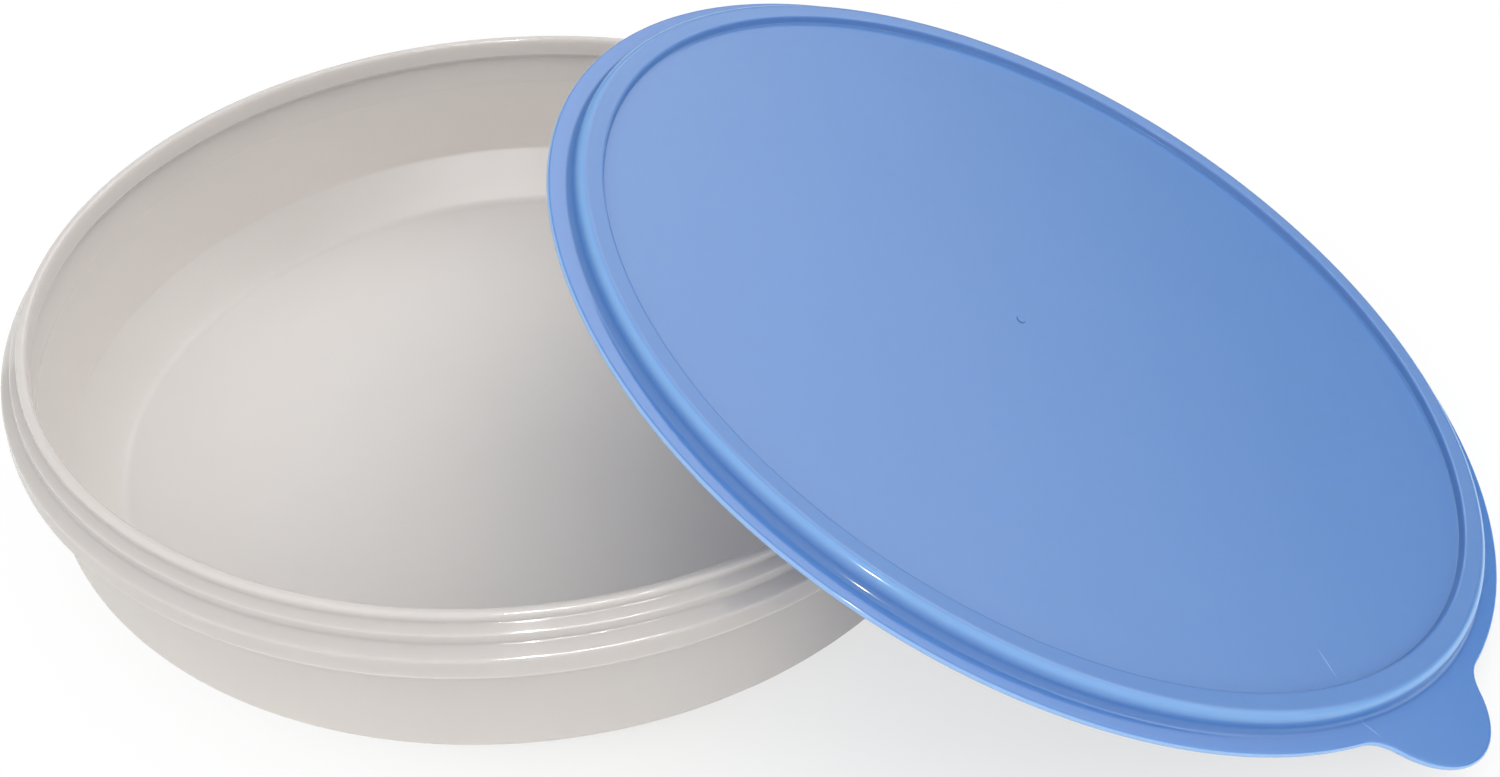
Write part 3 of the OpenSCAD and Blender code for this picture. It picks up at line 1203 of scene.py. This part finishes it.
@dataclass(frozen=True)
class StudioLamp:
    """One lamp, aimed at the object from a direction and a distance.

    It only draws highlights: the photograph shows no shadow of it. A lamp behind a
    flag lights one piece alone.

    Attributes:
        name: Name of the lamp.
        kind: Its shape.
        azimuth: Direction from the object in degrees.
        elevation: Height over the table in degrees.
        distance: Distance from the object in metres.
        size: Width and height in metres.
        radiance: Light from each part of its face.
        only: Name of the one piece that it lights, or nothing for all.
    """

    name: str
    kind: Lamp
    azimuth: float
    elevation: float
    distance: float
    size: tuple[float, float]
    radiance: float
    only: str = ""

    def build(self, aim: Vector) -> bpy.types.Object:
        """Builds the lamp.

        Args:
            aim: The point that it faces.

        Returns:
            The lamp.
        """
        data = bpy.data.lights.new(self.name, "AREA")
        data.shape = self.kind.value
        data.size = self.size[0]
        if self.kind is Lamp.SOFTBOX:
            data.size_y = self.size[1]
            area = self.size[0] * self.size[1]
        else:
            area = math.pi * self.size[0] ** 2 / 4
        # A face of even radiance gives out pi times that from each square metre
        data.energy = self.radiance * math.pi * area
        lamp = bpy.data.objects.new(self.name, data)
        bpy.context.scene.collection.objects.link(lamp)
        az = math.radians(self.azimuth)
        el = math.radians(self.elevation)
        out = Vector((math.cos(az) * math.cos(el), math.sin(az) * math.cos(el), math.sin(el)))
        lamp.location = aim + out * self.distance
        lamp.rotation_mode = "QUATERNION"
        lamp.rotation_quaternion = out.to_track_quat("Z", "Y")
        lamp.visible_diffuse = False
        if self.only:
            group = bpy.data.collections.new(self.name + "_flag")
            group.objects.link(bpy.data.objects[self.only])
            lamp.light_linking.receiver_collection = group
        return lamp


@dataclass
class Studio:
    """White table, soft surround and lamps.

    The room is brightest overhead in front of the object and falls off to the back,
    where a window stands on one side.

    Attributes:
        floor_w: Width of the table in metres.
        room_aim: Direction in which the room is brightest.
        room_span: Least and greatest closeness to that direction.
        room_back: Brightness at the least.
        room_front: Brightness at the greatest.
        window_azimuth: Direction of the window in degrees.
        window_span: Height at which the window begins and at which it is brightest.
        window_side: Closeness to its direction at which it begins and is full.
        window_low: Brightness where it begins.
        window_high: Brightness where it is brightest.
        lamps: The lamps.
    """

    floor_w: float = 6.0
    room_aim: tuple[float, float, float] = (0.1, -0.61, 0.78)
    room_span: tuple[float, float] = (-0.5, 1.0)
    room_back: float = 0.1
    room_front: float = 1.45
    window_azimuth: float = 50.0
    window_span: tuple[float, float] = (0.235, 0.75)
    window_side: tuple[float, float] = (0.5, 0.78)
    window_low: float = 0.1
    window_high: float = 4.4
    lamps: tuple[StudioLamp, ...] = (
        StudioLamp("small_lamp", Lamp.BULB, azimuth=-84.5, elevation=48.5, distance=1.5,
                   size=(0.035, 0.035), radiance=1600.0),
        StudioLamp("long_lamp", Lamp.SOFTBOX, azimuth=-72.0, elevation=42.0, distance=1.45,
                   size=(0.7, 0.03), radiance=200.0, only="container_moulding"),
    )

    def surround(self) -> None:
        """Builds the world: white to the camera, a soft room with a window to the object."""
        world = bpy.data.worlds.new("soft_surround")
        world.use_nodes = True
        bpy.context.scene.world = world
        tree = world.node_tree
        shown = tree.nodes["Background"]
        shown.inputs["Color"].default_value = linear("#FFFFFF")
        coords = add_node(tree, "ShaderNodeTexCoord")
        split = add_node(tree, "ShaderNodeSeparateXYZ", {}, {0: coords.outputs["Generated"]})
        before = add_node(tree, "ShaderNodeVectorMath", {"operation": "DOT_PRODUCT"}, {
            0: coords.outputs["Generated"], 1: self.room_aim,
        })
        room = add_node(tree, "ShaderNodeMapRange", {}, {
            "Value": before.outputs["Value"],
            "From Min": self.room_span[0], "From Max": self.room_span[1],
            "To Min": self.room_back, "To Max": self.room_front,
        })
        window = add_node(tree, "ShaderNodeMapRange", {}, {
            "Value": split.outputs[2],
            "From Min": self.window_span[0], "From Max": self.window_span[1],
            "To Min": self.window_low, "To Max": self.window_high,
        })
        azimuth = math.radians(self.window_azimuth)
        towards = add_node(tree, "ShaderNodeVectorMath", {"operation": "DOT_PRODUCT"}, {
            0: coords.outputs["Generated"], 1: (math.cos(azimuth), math.sin(azimuth), 0.0),
        })
        beside = add_node(tree, "ShaderNodeMapRange", {"interpolation_type": "SMOOTHSTEP"}, {
            "Value": towards.outputs["Value"],
            "From Min": self.window_side[0], "From Max": self.window_side[1],
        })
        level = add_node(tree, "ShaderNodeMix", {"data_type": "FLOAT"}, {
            0: beside.outputs[0], 2: room.outputs[0], 3: window.outputs[0],
        })
        light = add_node(tree, "ShaderNodeBackground", {}, {
            "Color": linear("#FFFFFF"), "Strength": level.outputs[0],
        })
        rays = add_node(tree, "ShaderNodeLightPath")
        blend = add_node(tree, "ShaderNodeMixShader", {}, {
            0: rays.outputs["Is Camera Ray"], 1: light.outputs[0], 2: shown.outputs[0],
        })
        tree.links.new(blend.outputs[0], tree.nodes["World Output"].inputs["Surface"])

    def floor(self) -> bpy.types.Object:
        """Builds the table top.

        Returns:
            The floor.
        """
        half = self.floor_w / 2
        mesh = bpy.data.meshes.new("paper_floor")
        corners = [(-half, -half, 0), (half, -half, 0), (half, half, 0), (-half, half, 0)]
        mesh.from_pydata(corners, [], [(0, 1, 2, 3)])
        mesh.materials.append(PaperSweep().build())
        floor = bpy.data.objects.new("paper_floor", mesh)
        bpy.context.scene.collection.objects.link(floor)
        return floor

    def build(self, aim: Vector) -> None:
        """Builds the whole stage.

        Args:
            aim: The point that the lamps face.
        """
        self.surround()
        self.floor()
        for lamp in self.lamps:
            lamp.build(aim)


def main() -> None:
    logging.basicConfig(level=logging.INFO, format="%(message)s")
    PhotoCamera().build()
    low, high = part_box("container")
    tub = Container(reach=-low.x / MM, height=high.z / MM)
    lathe = Lathe()
    tub.build(lathe)
    Lid(tub).build(lathe)
    Studio().build((cad_box[0] + cad_box[1]) / 2)
    bpy.context.scene.view_settings.view_transform = "Standard"
    bpy.context.view_layer.update()


if __name__ == "__main__":
    main()
